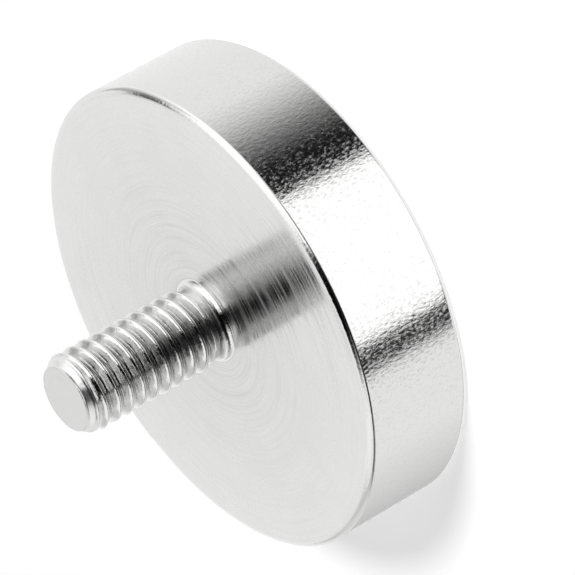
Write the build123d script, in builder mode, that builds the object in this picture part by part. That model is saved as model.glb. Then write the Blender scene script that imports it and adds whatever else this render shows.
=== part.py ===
from build123d import *
import os
from math import radians, tan

# Pot magnet with a threaded stud. A turned steel pot holds a bonded magnet disc, and a stud
# pressed through the pot's base stands out of its back. Millimetres. The origin is the centre of
# the working rim: the magnet faces down at Z = 0 and the stud points up along +Z.

# ------------------------------------------------------------------ driving dimensions
# steel pot
pot_diameter = 46.0
pot_height = 11.2
wall_thickness = 3.0
base_thickness = 4.0
edge_width = 0.8  # turned break of the two outer edges, across the face
edge_height = 0.45  # and along the side
mouth_chamfer = 0.3

# magnet disc and what bonds it
disc_corner_radius = 0.3
rim_step = 0.2  # the rim stands this far past the magnet, so steel takes the knocks
film_thickness = 0.15
epoxy_gap = 1.5  # between the magnet and the pot's wall, all round
epoxy_sag = 0.25  # hollow of the cured epoxy between the magnet and the rim

# threaded stud, 5/16 inch by 18 threads to the inch, with the crest of a free-running fit
thread_diameter = 7.87
thread_pitch = 25.4 / 18
thread_angle = 60.0
crest_share = 1 / 8  # flat of the crest, in pitches
root_share = 1 / 4  # flat of the root, in pitches
stud_length = 16.0  # from the pot's back face to the tip
neck_length = 0.85  # relief between the pot and the thread
neck_diameter = 6.3
foot_land = 0.1  # flat left of the shank's shoulder outside the hollow foot of the neck
lead_in_length = 0.5  # cone where the thread starts
tip_chamfer_length = 1.2
tip_diameter = 6.1
tip_edge_radius = 0.25
shank_diameter = 8.4
head_diameter = 13.0
head_height = 1.6
press_gap = 0.0  # between the stud and the pot: it is pressed in, with no play
trim_margin = 0.3  # the stud's outline stands this far off the crest, and cuts only at its cones

# ------------------------------------------------------------------ places and sizes they give
pot_radius = pot_diameter / 2
pocket_radius = pot_radius - wall_thickness
pocket_top = pot_height - base_thickness

disc_radius = pocket_radius - epoxy_gap
disc_top = pocket_top - film_thickness
disc_flat_radius = disc_radius - disc_corner_radius
epoxy_edge = rim_step + disc_corner_radius

shank_radius = shank_diameter / 2
bore_radius = shank_radius + press_gap
head_radius = head_diameter / 2
head_seat_radius = head_radius + press_gap
head_top = pocket_top + head_height

stud_foot = pot_height
stud_tip = stud_foot + stud_length
thread_start = stud_foot + neck_length
neck_radius = neck_diameter / 2
foot_radius = shank_radius - neck_radius - foot_land  # fillet between the neck and the shoulder
tip_radius = tip_diameter / 2

crest_radius = thread_diameter / 2
crest_flat = crest_share * thread_pitch
root_flat = root_share * thread_pitch
flank_spread = 2 * tan(radians(thread_angle / 2))  # width the ridge gains per unit of depth
thread_depth = (thread_pitch - root_flat - crest_flat) / flank_spread
root_radius = crest_radius - thread_depth
ridge_anchor = thread_depth / 4  # how deep the ridge is rooted in its core
anchor_width = thread_pitch - root_flat + flank_spread * ridge_anchor

lead_in_run = lead_in_length / (crest_radius - neck_radius)  # along the axis, per unit of radius
tip_chamfer_run = tip_chamfer_length / (crest_radius - tip_radius)
trim_radius = crest_radius + trim_margin

# ------------------------------------------------------------------ steel pot
with BuildPart() as steel_pot:
    with BuildSketch(Plane.XZ):
        with BuildLine():
            Polyline(
                (bore_radius, pot_height),
                (pot_radius - edge_width, pot_height),
                (pot_radius, pot_height - edge_height),
                (pot_radius, edge_height),
                (pot_radius - edge_width, 0),
                (pocket_radius + mouth_chamfer, 0),
                (pocket_radius, mouth_chamfer),
                (pocket_radius, pocket_top),
                (head_seat_radius, pocket_top),
                (head_seat_radius, head_top),
                (bore_radius, head_top),
                close=True,
            )
        make_face()
    revolve(axis=Axis.Z)
steel_pot.part.label = "steel_pot"

# ------------------------------------------------------------------ thread stock
# A ridge wound on a core, a pitch longer at either end than the stud's outline, which trims it.
stock_start = thread_start - thread_pitch
stock_length = stud_tip + thread_pitch - stock_start

with BuildPart() as thread_stock:
    with BuildSketch(Plane.XY.offset(stock_start - thread_pitch)):
        Circle(root_radius)
    extrude(amount=stock_length + 2 * thread_pitch)
    with BuildLine() as ridge_path:
        Helix(thread_pitch, stock_length, root_radius, center=(0, 0, stock_start))
    with BuildSketch(Plane((root_radius, 0, stock_start), x_dir=(1, 0, 0), z_dir=(0, -1, 0))):
        with BuildLine():
            Polyline(
                (-ridge_anchor, -anchor_width / 2),
                (thread_depth, -crest_flat / 2),
                (thread_depth, crest_flat / 2),
                (-ridge_anchor, anchor_width / 2),
                close=True,
            )
        make_face()
    sweep(path=ridge_path.line, is_frenet=True)

# ------------------------------------------------------------------ threaded stud
# The thread is the stock inside a turned outline, which gives it the lead-in cone and the
# chamfered, rounded tip. The neck, foot, pressed shank and head below it are one with its core.
with BuildPart() as threaded_stud:
    with BuildSketch(Plane.XZ):
        with BuildLine():
            Polyline(
                (0, thread_start),
                (neck_radius, thread_start),
                (trim_radius, thread_start + lead_in_run * (trim_radius - neck_radius)),
                (trim_radius, stud_tip - tip_chamfer_run * (trim_radius - tip_radius)),
                (tip_radius, stud_tip),
                (0, stud_tip),
                close=True,
            )
        make_face()
    revolve(axis=Axis.Z)
    tip_edge = threaded_stud.edges().filter_by(GeomType.CIRCLE).sort_by(Axis.Z)[-1]
    fillet(tip_edge, tip_edge_radius)
    add(thread_stock.part, mode=Mode.INTERSECT)

    with BuildSketch(Plane.XZ):
        with BuildLine():
            Polyline(
                (neck_radius, stud_foot + foot_radius),
                (neck_radius, thread_start + thread_pitch),
                (0, thread_start + thread_pitch),
                (0, pocket_top),
                (head_radius, pocket_top),
                (head_radius, head_top),
                (shank_radius, head_top),
                (shank_radius, stud_foot),
                (neck_radius + foot_radius, stud_foot),
            )
            RadiusArc(
                (neck_radius, stud_foot + foot_radius),
                (neck_radius + foot_radius, stud_foot),
                foot_radius,
            )
        make_face()
    revolve(axis=Axis.Z)
threaded_stud.part.label = "threaded_stud"

# ------------------------------------------------------------------ magnet disc
with BuildPart() as disc_magnet:
    with BuildSketch(Plane.XY.offset(rim_step)):
        Circle(disc_radius)
    extrude(amount=disc_top - rim_step)
    fillet(disc_magnet.edges().filter_by(GeomType.CIRCLE), disc_corner_radius)
disc_magnet.part.label = "disc_magnet"

# ------------------------------------------------------------------ adhesive film
with BuildPart() as adhesive_film:
    with BuildSketch(Plane.XY.offset(disc_top)):
        Circle(disc_flat_radius)
    extrude(amount=film_thickness)
adhesive_film.part.label = "adhesive_film"

# ------------------------------------------------------------------ epoxy ring
# It fills the gap between the magnet and the wall, follows the magnet's rounded corner and ends
# in a slightly hollow face.
with BuildPart() as epoxy_ring:
    with BuildSketch(Plane.XZ):
        with BuildLine():
            Polyline(
                (pocket_radius, epoxy_edge),
                (pocket_radius, pocket_top),
                (disc_flat_radius, pocket_top),
                (disc_flat_radius, disc_top),
            )
            RadiusArc(
                (disc_flat_radius, disc_top),
                (disc_radius, disc_top - disc_corner_radius),
                disc_corner_radius,
            )
            Line((disc_radius, disc_top - disc_corner_radius), (disc_radius, epoxy_edge))
            SagittaArc((disc_radius, epoxy_edge), (pocket_radius, epoxy_edge), epoxy_sag)
        make_face()
    revolve(axis=Axis.Z)
epoxy_ring.part.label = "epoxy_ring"

# ------------------------------------------------------------------ files
os.makedirs("parts", exist_ok=True)
export_step(steel_pot.part, "parts/steel_pot.step")
export_step(threaded_stud.part, "parts/threaded_stud.step")
export_step(disc_magnet.part, "parts/disc_magnet.step")
export_step(adhesive_film.part, "parts/adhesive_film.step")
export_step(epoxy_ring.part, "parts/epoxy_ring.step")

for piece in (steel_pot, threaded_stud, disc_magnet, adhesive_film, epoxy_ring):
    print(piece.part.label, round(piece.part.volume, 2), "mm3, valid:", piece.part.is_valid)
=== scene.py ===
"""Looks of the magnet fishing magnet: a plated pot magnet with a threaded stud.

All lengths are in metres, in the frame of the CAD model: the working rim lies on z = 0 and the
stud points up +Z. Azimuths of the studio are measured from the camera's own side. Materials read
positions, radii and heights in millimetres.
"""

import math

import bmesh
import bpy
from mathutils import Matrix, Vector, noise


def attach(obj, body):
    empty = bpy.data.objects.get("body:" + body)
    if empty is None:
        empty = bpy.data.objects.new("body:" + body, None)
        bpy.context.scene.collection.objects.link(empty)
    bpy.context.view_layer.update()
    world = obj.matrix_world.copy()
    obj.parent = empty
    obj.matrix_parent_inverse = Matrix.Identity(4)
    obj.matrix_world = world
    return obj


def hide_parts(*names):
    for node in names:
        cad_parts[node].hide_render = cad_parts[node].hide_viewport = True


MM = 0.001

# ---------------------------------------------------------------- camera
VIEW_AZIMUTH = -141.1  # degrees, turn of the camera about the stud's axis
VIEW_ELEVATION = 28.43  # degrees above the back face
VIEW_ROLL = 119.4  # degrees, the camera lies on its side, so the stud points down left
VIEW_DISTANCE = 0.4585
VIEW_LENS = 319.2
SENSOR_WIDTH = 36.0
CLIP_RANGE = (0.01, 20.0)
AIM_HEIGHT = 12.0 * MM  # the point of the axis that the aim is measured from
AIM_RIGHT = 8.01 * MM
AIM_UP = 3.33 * MM

# ---------------------------------------------------------------- pot
POT_RADIUS = 23.0 * MM
POT_HEIGHT = 11.2 * MM
POCKET_RADIUS = 20.0 * MM
POCKET_TOP = 7.2 * MM
SHANK_RADIUS = 4.2 * MM
BAND_WIDTH = 1.25 * MM  # the broken and polished edge round the back face, radially
BAND_HEIGHT = 0.46 * MM
RIM_EDGE_WIDTH = 1.25 * MM  # the same round the working rim
RIM_EDGE_HEIGHT = 0.68 * MM
MOUTH_CHAMFER = 0.3 * MM  # inside the rim
EDGE_ROUND = 0.07 * MM  # what polishing and plating leave of a sharp edge
EDGE_GUARD = 0.04 * MM  # narrow facets beside a rounded edge keep the faces next to it flat
ROUND_GUARD = 0.6  # the same beside a rounded corner, in its radii
FACE_RINGS = (0.3, 0.5, 0.7, 0.9)  # rings of the back face's mesh, in shares of its radius
SIDE_RINGS = (0.6, 0.3)  # and of the side's, in shares of its height
FLAT_ANGLE = 12  # degrees, the back face leans by less than this
BAND_LEAN = 0.2  # least upward share of the normal on the band, and downward on the rim's edge
POT_SEGMENTS = 288
SHARP_ANGLE = 0.6  # radians, edges that bend more are shaded sharp

# ---------------------------------------------------------------- stud
# Heights of the stud are measured from the back face.
PITCH = 25.4 / 18 * MM
CREST_RADIUS = 3.935 * MM
ROOT_RADIUS = 3.171 * MM
CREST_ROUND = 0.15  # reach of a crest's rounding from its middle, in pitches
ROOT_ROUND = 0.225
RIDGE_PHASE_HEIGHT = POT_HEIGHT + 0.85 * MM - PITCH  # a ridge's middle on the +X side, from z = 0
NECK_RADIUS = 3.45 * MM
FOOT_RADIUS = 1.0 * MM
FOOT_EDGE_RADIUS = 4.15 * MM
THREAD_START = 1.15 * MM
LEAD_IN = 0.9 * MM
FOOT_FADE = 1.0 * MM
STUD_LENGTH = 16.0 * MM
TIP_CHAMFER = 1.2 * MM
TIP_RADIUS = 3.05 * MM
TIP_ROUND = 0.25 * MM
TIP_ROUND_ACROSS = TIP_ROUND * 0.8
TIP_FILL_RADIUS = 3.72 * MM
# slopes of the tip's chamfer from each share of its length on: the flatter two are tool marks
TIP_SLOPES = ((0.0, 0.45), (0.14, 1.15), (0.36, 0.45), (0.5, 1.15), (0.82, 0.45), (0.93, 1.15))
TIP_SLOPE_SUM = 0.882  # makes the slopes end at the tip's radius, within 0.01 mm
TIP_RUN_OUT = 0.35 * MM
TIP_INSET = 0.06 * MM  # a narrow ring inside the tip's edge keeps the end face flat
ROLL_WANDER = 0.03 * MM  # unevenness of the rolled and plated thread
ROLL_WAVES = ((1.1, 1.0), (2.7, 0.6))  # its waves: scale per millimetre, share
STUD_SEGMENTS = 120
STUD_STEPS_PER_PITCH = 26
WELD = 1e-7  # points closer than this are one
LEVEL_SLACK = 1e-6  # how far a height may be off and still count as the same

# the pressed shank and head, from the pocket up to the back face: (radius, height above that face)
HEAD_RADIUS = 6.5 * MM
HEAD_HEIGHT = 1.6 * MM
POCKET_DROP = POCKET_TOP - POT_HEIGHT
FIT = 0.01 * MM
SHANK_RINGS = (
    (0.0, POCKET_DROP),
    (HEAD_RADIUS - FIT, POCKET_DROP),
    (HEAD_RADIUS - FIT, POCKET_DROP + HEAD_HEIGHT - FIT),
    (SHANK_RADIUS - FIT, POCKET_DROP + HEAD_HEIGHT - FIT),
    (SHANK_RADIUS - FIT, 0.0),
)

# ---------------------------------------------------------------- materials
METAL = {"Metallic": 1.0}
TURNED_METAL = {"Metallic": 1.0, "Anisotropic": 0.5, "Anisotropic Rotation": 0.25}
RING_DRIFT = 0.025  # how far the turning rings stray, per length across the face
FINE_RINGS = 0.5  # height of the fine rings beside the coarse ones
RING_MEAN = 0.5 + 0.5 * FINE_RINGS
PATCH_FLOOR = 0.3  # least depth of the rings, between the patches
# painted shade: the second share darkens the turned face's colour round the stud, against its edge
BASE_TONE, PAINTED_RADIAL_SHADE, CLOUD_SHADE = 0.4, 0.4, 0.25  # shares of the way from dark to light
DRAW = 0.6  # width of the side's grain beside its height
TIP_DULLING = 0.22  # roughness that the stud's tip has over its thread
# the border that the grain moves is that of the painted shade in the thread's roots
GRAIN_REACH = 0.35  # millimetres by which the grain moves the border of a root's dark tone
SILVER = (0.76, 0.76, 0.755)
TURNED_DARK = (0.60, 0.60, 0.595)
TURNED_LIGHT = (0.79, 0.79, 0.785)
# painted shade: the darker colour down in the thread's roots
PAINTED_ROOT_SHADE = (0.42, 0.42, 0.415)
CREST_LIGHT = (0.78, 0.78, 0.775)
EPOXY_BLACK = (0.012, 0.012, 0.013)
FILM_AMBER = (0.4, 0.36, 0.27)
PAPER_WHITE = (0.8, 0.8, 0.8)
WHITE = (1.0, 1.0, 1.0)

# ---------------------------------------------------------------- studio
# Cards are bright and flags are dark. Only the metal sees them.
FILL_LEVEL = 0.15  # the world's level for diffuse light; the camera and reflections see 1
FLOOR_GLOW = 0.56
FLOOR_REACH = 3.0
FLOOR_GAP = 0.02 * MM  # between the floor and the rim
KEY_AZIMUTH, KEY_ELEVATION = 42.0, 47.5  # degrees
KEY_DISTANCE = 1.2
KEY_SIZE = 0.36
KEY_POWER = 9.0
CARD_DISTANCE = 0.8
CARD_STEP = 4  # degrees, about the size of a card's facets
CARD_STRENGTH = 2.0  # the brightest level that a card can have
STRIP_RADIUS = 31.0 * MM  # from the stud's axis, so 8 mm off the pot's side
STRIP_COLUMNS = 64
OVERHEAD_GRID = (24, 12)


# ================================================================ node helpers
class Nodes:
    """A short way to write a node tree."""

    def __init__(self, tree, output_kind):
        self.tree = tree
        tree.nodes.clear()
        self.output = self.add(output_kind)

    def add(self, kind, inputs=None, **settings):
        node = self.tree.nodes.new(kind)
        for key, value in settings.items():
            setattr(node, key, value)
        for key, value in (inputs or {}).items():
            if isinstance(value, bpy.types.NodeSocket):
                self.tree.links.new(value, node.inputs[key])
            else:
                node.inputs[key].default_value = value
        return node

    def math(self, operation, a, b=0.0, c=0.0):
        return self.add("ShaderNodeMath", {0: a, 1: b, 2: c}, operation=operation).outputs[0]

    def vector(self, operation, a, b):
        return self.add("ShaderNodeVectorMath", {0: a, 1: b}, operation=operation).outputs[0]

    def noise(self, position, scale, detail, roughness=0.5):
        inputs = {"Vector": position, "Scale": scale, "Detail": detail, "Roughness": roughness}
        return self.add("ShaderNodeTexNoise", inputs).outputs["Fac"]

    def remap(self, value, low, high, to_low=0.0, to_high=1.0):
        """The value's span from low to high laid from to_low to to_high, and held there beyond."""
        inputs = {"Value": value, "From Min": low, "From Max": high}
        inputs.update({"To Min": to_low, "To Max": to_high})
        return self.add("ShaderNodeMapRange", inputs).outputs[0]

    def bump(self, height, depth, strength=1.0):
        inputs = {"Strength": strength, "Distance": depth, "Height": height}
        return self.add("ShaderNodeBump", inputs).outputs[0]

    def tone(self, share, dark, light):
        node = self.add("ShaderNodeValToRGB", {"Fac": share})
        for stop, colour in zip(node.color_ramp.elements, (dark, light)):
            stop.color = (*colour, 1.0)
        return node.outputs[0]

    def glow(self, colour, strength):
        inputs = {"Color": colour, "Strength": strength}
        return self.add("ShaderNodeEmission", inputs).outputs[0]

    def shader(self, colour, roughness, bump, more=None):
        """The one Principled shader of a material, on its output."""
        inputs = {"Base Color": colour, "Roughness": roughness, "Normal": bump, **(more or {})}
        self.finish(self.add("ShaderNodeBsdfPrincipled", inputs).outputs[0])

    def finish(self, shader):
        self.tree.links.new(shader, self.output.inputs[0])


def new_material(name):
    material = bpy.data.materials.new(name)
    material.use_nodes = True
    return material, Nodes(material.node_tree, "ShaderNodeOutputMaterial")


def radius_and_position(nodes):
    """The distance from the stud's axis and the position, both in millimetres."""
    metres = nodes.add("ShaderNodeTexCoord").outputs["Object"]
    position = nodes.vector("MULTIPLY", metres, (1.0 / MM,) * 3)
    flat = nodes.vector("MULTIPLY", position, (1.0, 1.0, 0.0))
    radius = nodes.add("ShaderNodeVectorMath", {0: flat}, operation="LENGTH").outputs["Value"]
    return radius, position


# ================================================================ materials
def turned_plating(name, ring_depth, ring_roughness, ring_shade):
    """Plating over a lathe-turned face, whose rings tilt it a little and differ in polish."""
    material, nodes = new_material(name)
    radius, position = radius_and_position(nodes)

    # two widths of ring along the radius, that drift a little across the face
    drift = nodes.vector("MULTIPLY", position, (RING_DRIFT, RING_DRIFT, 0.0))
    along = nodes.add("ShaderNodeCombineXYZ", {"Z": radius}).outputs[0]
    along = nodes.vector("ADD", along, drift)
    coarse = nodes.noise(along, scale=3.2, detail=2.0, roughness=0.6)
    fine = nodes.noise(along, scale=9.0, detail=2.0, roughness=0.6)
    height = nodes.math("ADD", coarse, nodes.math("MULTIPLY", fine, FINE_RINGS))

    # they are deepest near the centre, and deeper in some patches than in others
    cloud = nodes.noise(position, scale=0.3, detail=4.0)
    patches = nodes.remap(cloud, 0.35, 0.65)
    patches = nodes.math("MULTIPLY_ADD", patches, 1.0 - PATCH_FLOOR, PATCH_FLOOR)
    near_centre = nodes.remap(radius, 5.0, 15.0, to_low=1.0, to_high=0.3)
    bump = nodes.bump(height, ring_depth, nodes.math("MULTIPLY", near_centre, patches))
    polish = nodes.remap(height, 0.62, 0.9, *ring_roughness)

    # painted shade: the face's colour is darker round the stud and lighter toward its edge, with
    # the rings and the patches in its tone
    ring_tone = nodes.math("MULTIPLY", nodes.math("SUBTRACT", height, RING_MEAN), near_centre)
    cloud_tone = nodes.math("SUBTRACT", cloud, 0.5)
    share = nodes.math("MULTIPLY_ADD", nodes.remap(radius, 4.0, 22.0), PAINTED_RADIAL_SHADE, BASE_TONE)
    share = nodes.math("MULTIPLY_ADD", ring_tone, ring_shade, share)
    share = nodes.math("MULTIPLY_ADD", cloud_tone, CLOUD_SHADE, share)
    tone = nodes.tone(share, TURNED_DARK, TURNED_LIGHT)
    tangent = nodes.add("ShaderNodeTangent", direction_type="RADIAL", axis="Z").outputs[0]
    nodes.shader(tone, polish, bump, {**TURNED_METAL, "Tangent": tangent})
    return material


def satin_plating():
    """The pot's side: plating over ground steel, with the fine pitted grain that plating takes.

    It is polished between the pits and dull in each one.
    """
    material, nodes = new_material("satin_plating")
    _, position = radius_and_position(nodes)
    drawn = nodes.vector("MULTIPLY", position, (1.0, 1.0, DRAW))
    grain = nodes.noise(drawn, scale=3.2, detail=2.0, roughness=0.6)
    bump = nodes.bump(grain, depth=0.017 * MM)
    pits = nodes.noise(drawn, scale=4.6, detail=1.5)
    polish = nodes.remap(pits, 0.42, 0.75, to_low=0.1, to_high=0.34)
    nodes.shader((*SILVER, 1.0), polish, bump, METAL)
    return material


def bright_plating(name, roughness, grain_scale, grain_depth):
    """Bright plating with a little waviness: the polished edges of the pot, and the disc."""
    material, nodes = new_material(name)
    _, position = radius_and_position(nodes)
    grain = nodes.noise(position, grain_scale, detail=3.0, roughness=0.6)
    nodes.shader((*SILVER, 1.0), roughness, nodes.bump(grain, grain_depth), METAL)
    return material


def rolled_plating():
    """The stud: plating over a rolled thread, polished on the crests and rougher down in the roots,
    where its colour is also darkened as painted shade.

    The foot is as bright as a crest, and the tip's turned chamfer is bright but less polished.
    """
    material, nodes = new_material("rolled_plating")
    radius, position = radius_and_position(nodes)
    grain = nodes.noise(position, scale=3.8, detail=3.0, roughness=0.65)
    bump = nodes.bump(grain, depth=0.018 * MM)
    height = nodes.add("ShaderNodeSeparateXYZ", {0: position}).outputs[2]
    on_foot = nodes.remap(height, 11.9, 12.5, to_low=1.0, to_high=0.0)
    on_tip = nodes.remap(height, 25.8, 26.2)
    # the radius, made uneven by the grain, and raised to a crest's on the foot and the tip, which
    # keeps the painted root shade off them
    level = nodes.math("ADD", on_foot, nodes.math("MULTIPLY_ADD", grain, GRAIN_REACH, radius))
    level = nodes.math("ADD", level, on_tip)
    # painted shade: the colour darkens from the crests down into the roots, as shade in the grooves
    tone = nodes.tone(nodes.remap(level, 3.3, 3.65), PAINTED_ROOT_SHADE, CREST_LIGHT)
    polish = nodes.remap(level, 3.3, 3.95, to_low=0.2, to_high=0.07)
    polish = nodes.math("MULTIPLY_ADD", on_tip, TIP_DULLING, polish)
    nodes.shader(tone, polish, bump, METAL)
    return material


def resin(name, colour, roughness):
    """Cast epoxy or cured adhesive: a glossy polymer with a slow ripple in its face and colour."""
    material, nodes = new_material(name)
    _, position = radius_and_position(nodes)
    ripple = nodes.noise(position, scale=0.8, detail=2.0)
    deep, thin = ([share * channel for channel in colour] for share in (0.7, 1.4))
    bump = nodes.bump(ripple, depth=0.05 * MM)
    nodes.shader(nodes.tone(ripple, deep, thin), roughness, bump)
    return material


# ================================================================ meshes
def object_from(name, mesh, materials):
    """An object of the scene made from a bmesh, which is freed."""
    data = bpy.data.meshes.new(name)
    mesh.to_mesh(data)
    mesh.free()
    for material in materials:
        data.materials.append(material)
    made = bpy.data.objects.new(name, data)
    bpy.context.scene.collection.objects.link(made)
    return made


def rounded(corner, before, after, radius, steps=5):
    """An outline's corner (radius, height) rounded by radius, with a guard point at each end."""
    corner, before, after = Vector(corner), Vector(before), Vector(after)
    to_before, to_after = (before - corner).normalized(), (after - corner).normalized()
    half = to_before.angle(to_after) / 2
    reach = radius / math.tan(half)
    start, end = corner + to_before * reach, corner + to_after * reach
    centre = corner + (to_before + to_after).normalized() * radius / math.sin(half)
    points = [start + to_before * radius * ROUND_GUARD]
    a, b = start - centre, end - centre
    sweep = a.angle(b)
    for i in range(steps + 1):
        t = i / steps
        turned = a * math.sin((1 - t) * sweep) + b * math.sin(t * sweep)
        points.append(centre + turned / math.sin(sweep))
    points.append(end + to_after * radius * ROUND_GUARD)
    return [tuple(p) for p in points]


def rounded_edge(radius, height, across, down, steps=14):
    """A quarter ellipse from the back face over to the side, with a guard point at each end."""
    points = [(radius - across - EDGE_GUARD, height)]
    for i in range(steps + 1):
        t = i / steps
        inward = across * (1 - math.sin(math.pi / 2 * t))
        points.append((radius - inward, height - down * (1 - math.cos(math.pi / 2 * t))))
    points.append((radius, height - down - EDGE_GUARD))
    return points


def lathe(name, outline, segments, zones, materials):
    """An object turned from a closed outline of (radius, height).

    zones(middle, normal) gives the number of a face's material.
    """
    mesh = bmesh.new()
    rings = []
    for i in range(segments):
        angle = 2 * math.pi * i / segments
        c, s = math.cos(angle), math.sin(angle)
        rings.append([mesh.verts.new((r * c, r * s, z)) for r, z in outline])
    count = len(outline)
    for i in range(segments):
        one, two = rings[i], rings[(i + 1) % segments]
        for j in range(count):
            k = (j + 1) % count
            face = mesh.faces.new((one[j], two[j], two[k], one[k]))
            face.smooth = True
    bmesh.ops.recalc_face_normals(mesh, faces=mesh.faces)
    for face in mesh.faces:
        face.material_index = zones(face.calc_center_median(), face.normal)
    for edge in mesh.edges:
        edge.smooth = edge.calc_face_angle() <= SHARP_ANGLE
    return object_from(name, mesh, materials)


def pot_outline():
    """The pot's cross-section, from the seat of the stud's head up, out and round to the pocket."""
    rim_out = (POT_RADIUS - RIM_EDGE_WIDTH, 0.0)
    rim_in = (POCKET_RADIUS + MOUTH_CHAMFER, 0.0)
    mouth = (POCKET_RADIUS, MOUTH_CHAMFER)
    pocket_corner = (POCKET_RADIUS, POCKET_TOP)
    seat_top = POCKET_TOP + HEAD_HEIGHT
    points = [(HEAD_RADIUS, POCKET_TOP), (HEAD_RADIUS, seat_top)]
    points += [(SHANK_RADIUS, seat_top), (SHANK_RADIUS, POT_HEIGHT)]
    points += [(POT_RADIUS * share, POT_HEIGHT) for share in FACE_RINGS]
    points += rounded_edge(POT_RADIUS, POT_HEIGHT, BAND_WIDTH, BAND_HEIGHT)
    points += [(POT_RADIUS, POT_HEIGHT * share) for share in SIDE_RINGS]
    rim_edge = rounded_edge(POT_RADIUS, 0.0, RIM_EDGE_WIDTH, RIM_EDGE_HEIGHT)
    points += [(radius, -height) for radius, height in reversed(rim_edge)]
    points += rounded(rim_in, rim_out, mouth, EDGE_ROUND)
    points += rounded(mouth, rim_in, pocket_corner, EDGE_ROUND)
    points += [pocket_corner]
    return points


def steel_pot(turned, satin, band):
    flat_limit = math.cos(math.radians(FLAT_ANGLE))

    def zones(middle, normal):
        if normal.z > flat_limit and middle.z > POCKET_TOP:
            return 0
        on_band = middle.z > POT_HEIGHT - BAND_HEIGHT and normal.z > BAND_LEAN
        outside = math.hypot(middle.x, middle.y) > POT_RADIUS - RIM_EDGE_WIDTH
        on_rim_edge = outside and middle.z < RIM_EDGE_HEIGHT and normal.z < -BAND_LEAN
        return 2 if on_band or on_rim_edge else 1

    return lathe("pot_body", pot_outline(), POT_SEGMENTS, zones, (turned, satin, band))


def clamped(share):
    return min(max(share, 0.0), 1.0)


def eased(share):
    """A share of 0 to 1 with a soft start and a soft end."""
    return share * share * (3 - 2 * share)


def thread_radius(phase):
    """The thread's radius at a phase of 0 to 1 along one pitch, 0 in the middle of a ridge.

    Rolling and plating leave a rounded crest and root with straight flanks between them.
    """
    d = abs(phase - round(phase))  # 0 on the ridge, 0.5 in the root
    from_root = 0.5 - d
    slope = 1.0 / (0.5 - CREST_ROUND / 2 - ROOT_ROUND / 2)
    if d < CREST_ROUND:
        drop = slope * d * d / (2 * CREST_ROUND)
    elif from_root < ROOT_ROUND:
        drop = 1.0 - slope * from_root * from_root / (2 * ROOT_ROUND)
    else:
        drop = slope * (d - CREST_ROUND / 2)
    return CREST_RADIUS + (ROOT_RADIUS - CREST_RADIUS) * drop


def chamfer_drop(t):
    """How far the tip's chamfer has come in at share t of its length, with two tool marks in it."""
    drop = 0.0
    for (start, slope), (end, _) in zip(TIP_SLOPES, TIP_SLOPES[1:] + ((1.0, 0.0),)):
        drop += max(min(t, end) - start, 0.0) * slope
    return drop * (CREST_RADIUS - TIP_RADIUS) / TIP_SLOPE_SUM


def stud_outline_radius(z):
    """The turned blank's radius at height z, which the thread stays inside."""
    if z < THREAD_START + LEAD_IN:
        t = max(z - THREAD_START, 0.0) / LEAD_IN
        return NECK_RADIUS + (CREST_RADIUS - NECK_RADIUS) * t
    chamfer_start = STUD_LENGTH - TIP_CHAMFER
    if z <= chamfer_start:
        return CREST_RADIUS
    radius = CREST_RADIUS - chamfer_drop((z - chamfer_start) / TIP_CHAMFER)
    inside = STUD_LENGTH - z
    if inside < TIP_ROUND:
        u = 1 - inside / TIP_ROUND
        radius -= TIP_ROUND_ACROSS * (1 - math.sqrt(max(1 - u * u, 0.0)))
    return radius


def foot_fill_radius(z):
    """The hollow foot and the plain neck over it, into which the first turn of thread sinks."""
    drop = max(FOOT_RADIUS - z, 0.0)
    if drop > 0.0:
        across = (FOOT_EDGE_RADIUS - NECK_RADIUS) / FOOT_RADIUS
        flare = FOOT_RADIUS - math.sqrt(max(FOOT_RADIUS**2 - drop**2, 0.0))
        return NECK_RADIUS + flare * across
    faded = clamped((z - THREAD_START) / FOOT_FADE)
    return NECK_RADIUS + (ROOT_RADIUS - NECK_RADIUS) * eased(faded)


def tip_fill_radius(z):
    """The blank's own cone at the tip, where the thread runs out: its roots are filled here."""
    above = z - (STUD_LENGTH - TIP_CHAMFER)
    if above < -TIP_RUN_OUT:
        return 0.0
    full = min(TIP_FILL_RADIUS, stud_outline_radius(z))
    return ROOT_RADIUS + (full - ROOT_RADIUS) * eased(clamped(1.0 + above / TIP_RUN_OUT))


def stud_spot(angle, radius, z):
    return radius * math.cos(angle), radius * math.sin(angle), POT_HEIGHT + z


def uneven(angle, radius, z):
    """The thread's radius with the unevenness that rolling and plating leave."""
    spot = Vector((radius * math.cos(angle), radius * math.sin(angle), z)) / MM
    waves = sum(share * noise.noise(spot * scale) for scale, share in ROLL_WAVES)
    return min(radius + waves * ROLL_WANDER, CREST_RADIUS)


def stud_rows(mesh):
    """The stud's grid: rings of the shank, then rows that follow the helix so crests stay crisp."""
    turns = [i / STUD_SEGMENTS for i in range(STUD_SEGMENTS + 1)]
    angles = [2 * math.pi * turn for turn in turns]
    rows = [[mesh.verts.new(stud_spot(a, r, z)) for a in angles] for r, z in SHANK_RINGS]
    steps = int((STUD_LENGTH / PITCH + 2) * STUD_STEPS_PER_PITCH)
    for j in range(steps + 1):
        offset = (j / STUD_STEPS_PER_PITCH - 1.0) * PITCH
        row = []
        for turn, angle in zip(turns, angles):
            z = min(max(offset + turn * PITCH, 0.0), STUD_LENGTH)
            above_phase = POT_HEIGHT + z - RIDGE_PHASE_HEIGHT - turn * PITCH
            r = min(stud_outline_radius(z), thread_radius(above_phase / PITCH))
            r = max(r, tip_fill_radius(z), foot_fill_radius(z))
            if THREAD_START < z < STUD_LENGTH - TIP_ROUND:
                r = uneven(angle, r, z)
            row.append(mesh.verts.new(stud_spot(angle, r, z)))
        rows.append(row)
    return rows


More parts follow.
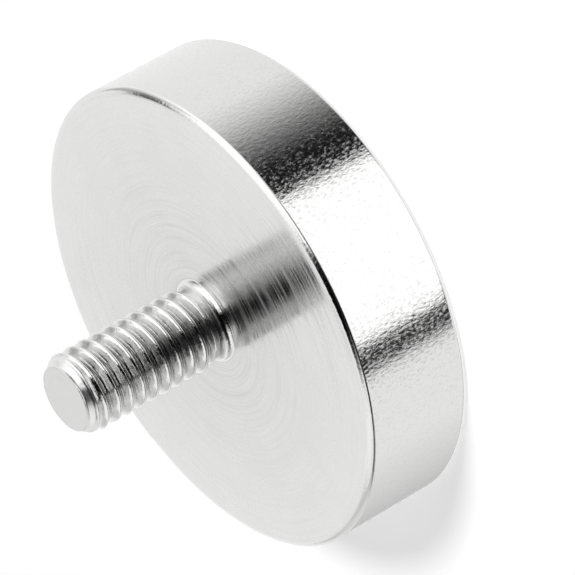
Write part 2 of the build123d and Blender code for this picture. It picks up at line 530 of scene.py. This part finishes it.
def threaded_stud(rolled, turned):
    """The stud with its pressed shank and head.

    The shoulder round its foot and the face of its tip are turned, and the rest is rolled.
    """
    mesh = bmesh.new()
    rows = stud_rows(mesh)
    for j in range(len(rows) - 1):
        for i in range(STUD_SEGMENTS):
            corners = (rows[j][i], rows[j][i + 1], rows[j + 1][i + 1], rows[j + 1][i])
            face = mesh.faces.new(corners)
            if j == len(SHANK_RINGS) - 1:  # the shoulder
                face.material_index = 1
    bmesh.ops.remove_doubles(mesh, verts=mesh.verts, dist=WELD)
    bmesh.ops.dissolve_degenerate(mesh, edges=mesh.edges, dist=WELD)
    tip_level = POT_HEIGHT + STUD_LENGTH - LEVEL_SLACK
    top = [
        edge
        for edge in mesh.edges
        if edge.is_boundary and min(v.co.z for v in edge.verts) > tip_level
    ]
    made = bmesh.ops.edgeloop_fill(mesh, edges=top)
    for face in made["faces"]:
        face.material_index = 1
    bmesh.ops.inset_region(mesh, faces=made["faces"], thickness=TIP_INSET)
    bmesh.ops.recalc_face_normals(mesh, faces=mesh.faces)
    for face in mesh.faces:
        face.smooth = True
    for edge in mesh.edges:
        below = max(v.co.z for v in edge.verts) < POT_HEIGHT + LEVEL_SLACK
        if below and len(edge.link_faces) == 2 and edge.calc_face_angle() > SHARP_ANGLE:
            edge.smooth = False
    return object_from("stud_body", mesh, (rolled, turned))


# ================================================================ studio
def bearing(azimuth, elevation):
    """A direction from the object, its azimuth counted from the camera's side."""
    a, e = math.radians(VIEW_AZIMUTH + azimuth), math.radians(elevation)
    return Vector((math.cos(a) * math.cos(e), math.sin(a) * math.cos(e), math.sin(e)))


def make_camera():
    data = bpy.data.cameras.new("camera")
    data.sensor_width = SENSOR_WIDTH
    data.lens = VIEW_LENS
    data.clip_start, data.clip_end = CLIP_RANGE
    camera = bpy.data.objects.new("camera", data)
    bpy.context.scene.collection.objects.link(camera)
    back = bearing(0.0, VIEW_ELEVATION)
    level_right = Vector((0, 0, 1)).cross(back).normalized()
    level_up = back.cross(level_right)
    roll = math.radians(VIEW_ROLL)
    up = level_up * math.cos(roll) + level_right * math.sin(roll)
    right = up.cross(back)
    aim = Vector((0, 0, AIM_HEIGHT)) + right * AIM_RIGHT + up * AIM_UP
    place = Matrix.Translation(aim + back * VIEW_DISTANCE)
    camera.matrix_world = place @ Matrix((right, up, back)).transposed().to_4x4()
    bpy.context.scene.camera = camera


def make_world():
    """White where the camera and the metal look, and a plain soft fill for everything else."""
    world = bpy.data.worlds.new("studio_world")
    bpy.context.scene.world = world
    world.use_nodes = True
    nodes = Nodes(world.node_tree, "ShaderNodeOutputWorld")
    path = nodes.add("ShaderNodeLightPath")
    seen = nodes.math("MAXIMUM", path.outputs["Is Camera Ray"], path.outputs["Is Glossy Ray"])
    seen = nodes.math("MAXIMUM", seen, path.outputs["Is Transmission Ray"])
    strength = nodes.math("MULTIPLY_ADD", seen, 1.0 - FILL_LEVEL, FILL_LEVEL)
    background = nodes.add("ShaderNodeBackground", {"Color": (*WHITE, 1.0), "Strength": strength})
    nodes.finish(background.outputs[0])


def stage_object(name, mesh, material):
    thing = object_from(name, mesh, (material,))
    return thing


def make_floor():
    """A plain white floor under the rim. It glows a little for the camera and keeps the shadow.

    A camera below it looks through it, at the magnet's face.
    """
    material, nodes = new_material("floor_paper")
    seen = nodes.add("ShaderNodeLightPath").outputs["Is Camera Ray"]
    paper = nodes.add("ShaderNodeBsdfDiffuse", {"Color": (*PAPER_WHITE, 1.0)}).outputs[0]
    glow = nodes.glow((*WHITE, 1.0), nodes.math("MULTIPLY", seen, FLOOR_GLOW))
    solid = nodes.add("ShaderNodeAddShader", {0: paper, 1: glow}).outputs[0]
    clear = nodes.add("ShaderNodeBsdfTransparent").outputs[0]
    below = nodes.add("ShaderNodeNewGeometry").outputs["Backfacing"]
    seen_from_below = nodes.math("MULTIPLY", below, seen)
    sheet = nodes.add("ShaderNodeMixShader", {0: seen_from_below, 1: solid, 2: clear})
    nodes.finish(sheet.outputs[0])
    mesh = bmesh.new()
    bmesh.ops.create_grid(mesh, x_segments=8, y_segments=8, size=FLOOR_REACH)
    floor = stage_object("floor", mesh, material)
    floor.location.z = -FLOOR_GAP
    floor.visible_glossy = False


def make_key_lamp():
    data = bpy.data.lights.new("key_lamp", "AREA")
    data.shape = "DISK"
    data.size = KEY_SIZE
    data.energy = KEY_POWER
    lamp = bpy.data.objects.new("key_lamp", data)
    bpy.context.scene.collection.objects.link(lamp)
    direction = bearing(KEY_AZIMUTH, KEY_ELEVATION)
    lamp.location = direction * KEY_DISTANCE
    lamp.rotation_euler = direction.to_track_quat("Z", "Y").to_euler()
    lamp.visible_glossy = False
    lamp.visible_camera = False


def card_paper(name, levels):
    """A glowing paper. levels are (share of the card's width, brightness)."""
    material, nodes = new_material(name)
    place = nodes.add("ShaderNodeUVMap", uv_map="card").outputs[0]
    across = nodes.add("ShaderNodeSeparateXYZ", {0: place}).outputs[0]
    ramp = nodes.add("ShaderNodeValToRGB", {"Fac": across})
    stops = ramp.color_ramp.elements
    while len(stops) < len(levels):
        stops.new(0.5)
    for stop, (share, level) in zip(stops, levels):
        grey = level / CARD_STRENGTH
        stop.position = share
        stop.color = (grey, grey, grey, 1.0)
    nodes.finish(nodes.glow(ramp.outputs[0], CARD_STRENGTH))
    return material


def card_from(grid, name, levels):
    """A studio card over a grid of points, that only the metal sees."""
    material = card_paper(name + "_paper", levels)
    mesh = bmesh.new()
    layer = mesh.loops.layers.uv.new("card")
    columns, lines = len(grid) - 1, len(grid[0]) - 1
    corners = [[mesh.verts.new(point) for point in line] for line in grid]
    share = {
        vertex: (i / columns, j / lines)
        for i, line in enumerate(corners)
        for j, vertex in enumerate(line)
    }
    for one, two in zip(corners, corners[1:]):
        for j in range(lines):
            face = mesh.faces.new((one[j], two[j], two[j + 1], one[j + 1]))
            for loop in face.loops:
                loop[layer].uv = share[loop.vert]
    card = stage_object(name, mesh, material)
    card.visible_camera = False
    card.visible_diffuse = False
    card.visible_transmission = False
    card.visible_shadow = False
    card.visible_volume_scatter = False


def between(ends, share):
    return ends[0] + (ends[1] - ends[0]) * share


def make_card(name, azimuths, elevations, levels):
    """A curved card round the object. levels are (share of the azimuths, brightness)."""
    columns, lines = (max(2, int((b - a) / CARD_STEP)) for a, b in (azimuths, elevations))
    grid = [
        [
            bearing(between(azimuths, i / columns), between(elevations, j / lines)) * CARD_DISTANCE
            for j in range(lines + 1)
        ]
        for i in range(columns + 1)
    ]
    card_from(grid, name, levels)


def as_shares(levels):
    """The span of levels that are given at azimuths, and the levels at shares of that span."""
    low, high = levels[0][0], levels[-1][0]
    return (low, high), [((azimuth - low) / (high - low), level) for azimuth, level in levels]


def make_ring_card(elevations, levels):
    """A long card round the camera's side, its levels given at azimuths."""
    azimuths, shares = as_shares(levels)
    make_card("ring_card", azimuths, elevations, shares)


def make_strip(name, heights, levels):
    """A strip near the object, its heights in millimetres and its levels given at azimuths."""
    azimuths, shares = as_shares(levels)
    grid = []
    for i in range(STRIP_COLUMNS + 1):
        out = bearing(between(azimuths, i / STRIP_COLUMNS), 0.0) * STRIP_RADIUS
        grid.append([out + Vector((0, 0, height * MM)) for height in heights])
    card_from(grid, name, shares)


def make_overhead_flag(toward_camera, low_side, high_side, levels):
    """A flat dark card high over the object, its places given as shares of its height.

    low_side and high_side are its two edges, each where the card is farthest from and nearest
    to the camera.
    """
    forward, side, up = bearing(0.0, 0.0), bearing(90.0, 0.0), Vector((0, 0, 1))
    columns, lines = OVERHEAD_GRID
    grid = []
    for i in range(columns + 1):
        line = []
        for j in range(lines + 1):
            v = j / lines
            across = between((between(low_side, v), between(high_side, v)), i / columns)
            spot = forward * between(toward_camera, v) + side * across + up
            line.append(spot * CARD_DISTANCE)
        grid.append(line)
    card_from(grid, "overhead_flag", levels)


def make_studio():
    make_world()
    make_floor()
    make_key_lamp()
    # low and level round the object
    make_card("front_card", (-44.5, 30), (-60, -8), [(0, 1.4), (1, 1.4)])
    levels = [(0, 0.01), (0.30, 0.012), (0.52, 0.24), (0.8, 0.75), (1, 0.98)]
    make_card("left_flag", (30, 86), (-60, 12), levels)
    levels = [(0, 0.4), (0.2, 0.03), (0.85, 0.01), (1, 0.05)]
    make_card("right_flag", (-58, -44.5), (-60, 12), levels)
    make_card("low_card", (-166, -100), (-60, -8), [(0, 0.55), (1, 1.0)])
    levels = [(0, 0.85), (0.12, 0.5), (0.24, 0.3), (0.34, 0.12), (0.44, 0.01)]
    levels += [(0.86, 0.005), (1, 0.03)]
    make_card("level_flag", (-110, 31), (-8, 12), levels)
    # above it, round the camera's side
    levels = [(0, 0.5), (0.25, 0.02), (0.9, 0.003), (1, 0.05)]
    make_card("camera_flag", (-64, 2), (38, 62), levels)
    levels = [(-160, 0.75), (-140, 0.65), (-128, 0.52), (-112, 0.28), (-96, 0.1), (-80, 0.03)]
    levels += [(-64, 0.006), (-48, 0.003), (-16, 0.002), (0, 0.006), (8, 0.025), (16, 0.11)]
    levels += [(32, 0.6), (48, 1.1), (60, 1.4)]
    make_ring_card((12, 38), levels)
    # close round it, for the pot's polished edges and the stud
    levels = [(-166, 1.2), (-110, 1.0), (-80, 0.8), (-60, 0.45), (-45, 0.05), (-16, 0.08)]
    levels += [(10, 0.4), (30, 0.9), (50, 1.1), (100, 1.1)]
    make_strip("rim_card", (8.0, 13.4), levels)
    levels = [(-112, 0.8), (-88, 0.85), (-80, 0.6), (-74, 0.25), (-70, 0.08)]
    make_strip("edge_card", (13.4, 20.5), levels)
    make_strip("tip_card", (34.0, 50.0), [(-130, 1.1), (-72, 1.1), (-60, 0.5)])
    # on the lamp's side and behind
    make_card("key_card", (60, 116), (12, 49), [(0, 1.4), (0.6, 1.4), (1, 1.0)])
    make_card("key_edge_card", (116, 132), (12, 49), [(0, 0.9), (1, 0.75)])
    make_card("high_key_card", (8, 60), (38, 78), [(0, 1.4), (1, 1.4)])
    make_card("far_flag", (132, 150), (22, 34), [(0, 0.7), (0.3, 0.5), (1, 0.6)])
    levels = [(0, 0.5), (0.3, 0.3), (0.8, 0.1), (1, 0.2)]
    make_card("high_far_flag", (132, 160), (34, 43), levels)
    make_card("high_far_card", (60, 172), (49, 80), [(0, 1.4), (0.9, 1.3), (1, 1.1)])
    # over it
    levels = [(0, 0.65), (0.18, 0.15), (0.35, 0.003), (0.88, 0.003), (1, 0.4)]
    make_overhead_flag((-0.42, 1.05), (-0.36, -1.1), (0.05, 0.12), levels)


# ================================================================ the scene
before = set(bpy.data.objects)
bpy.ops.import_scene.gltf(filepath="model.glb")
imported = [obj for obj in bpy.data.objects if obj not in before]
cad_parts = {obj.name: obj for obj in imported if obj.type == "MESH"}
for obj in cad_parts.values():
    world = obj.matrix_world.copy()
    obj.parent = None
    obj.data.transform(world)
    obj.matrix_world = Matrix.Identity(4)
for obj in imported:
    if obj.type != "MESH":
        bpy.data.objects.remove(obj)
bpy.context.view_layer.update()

turned = turned_plating(
    "turned_plating", ring_depth=0.02 * MM, ring_roughness=(0.07, 0.34), ring_shade=1.6
)
end_finish = turned_plating(
    "stud_end_plating", ring_depth=0.005 * MM, ring_roughness=(0.16, 0.24), ring_shade=0.4
)
satin = satin_plating()
band = bright_plating(
    "edge_band_plating", roughness=0.09, grain_scale=2.8, grain_depth=0.012 * MM
)
rolled = rolled_plating()
disc_finish = bright_plating(
    "disc_plating", roughness=0.16, grain_scale=2.2, grain_depth=0.006 * MM
)
epoxy = resin("black_epoxy", EPOXY_BLACK, roughness=0.22)
film = resin("adhesive_film", FILM_AMBER, roughness=0.5)

pot = steel_pot(turned, satin, band)
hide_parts("steel_pot")
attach(pot, "root")

stud = threaded_stud(rolled, end_finish)
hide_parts("threaded_stud")
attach(stud, "root")

for node, material in (
    ("disc_magnet", disc_finish),
    ("epoxy_ring", epoxy),
    ("adhesive_film", film),
):
    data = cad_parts[node].data
    data.materials.clear()
    data.materials.append(material)

make_studio()
make_camera()

view = bpy.context.scene.view_settings
view.view_transform = "Standard"
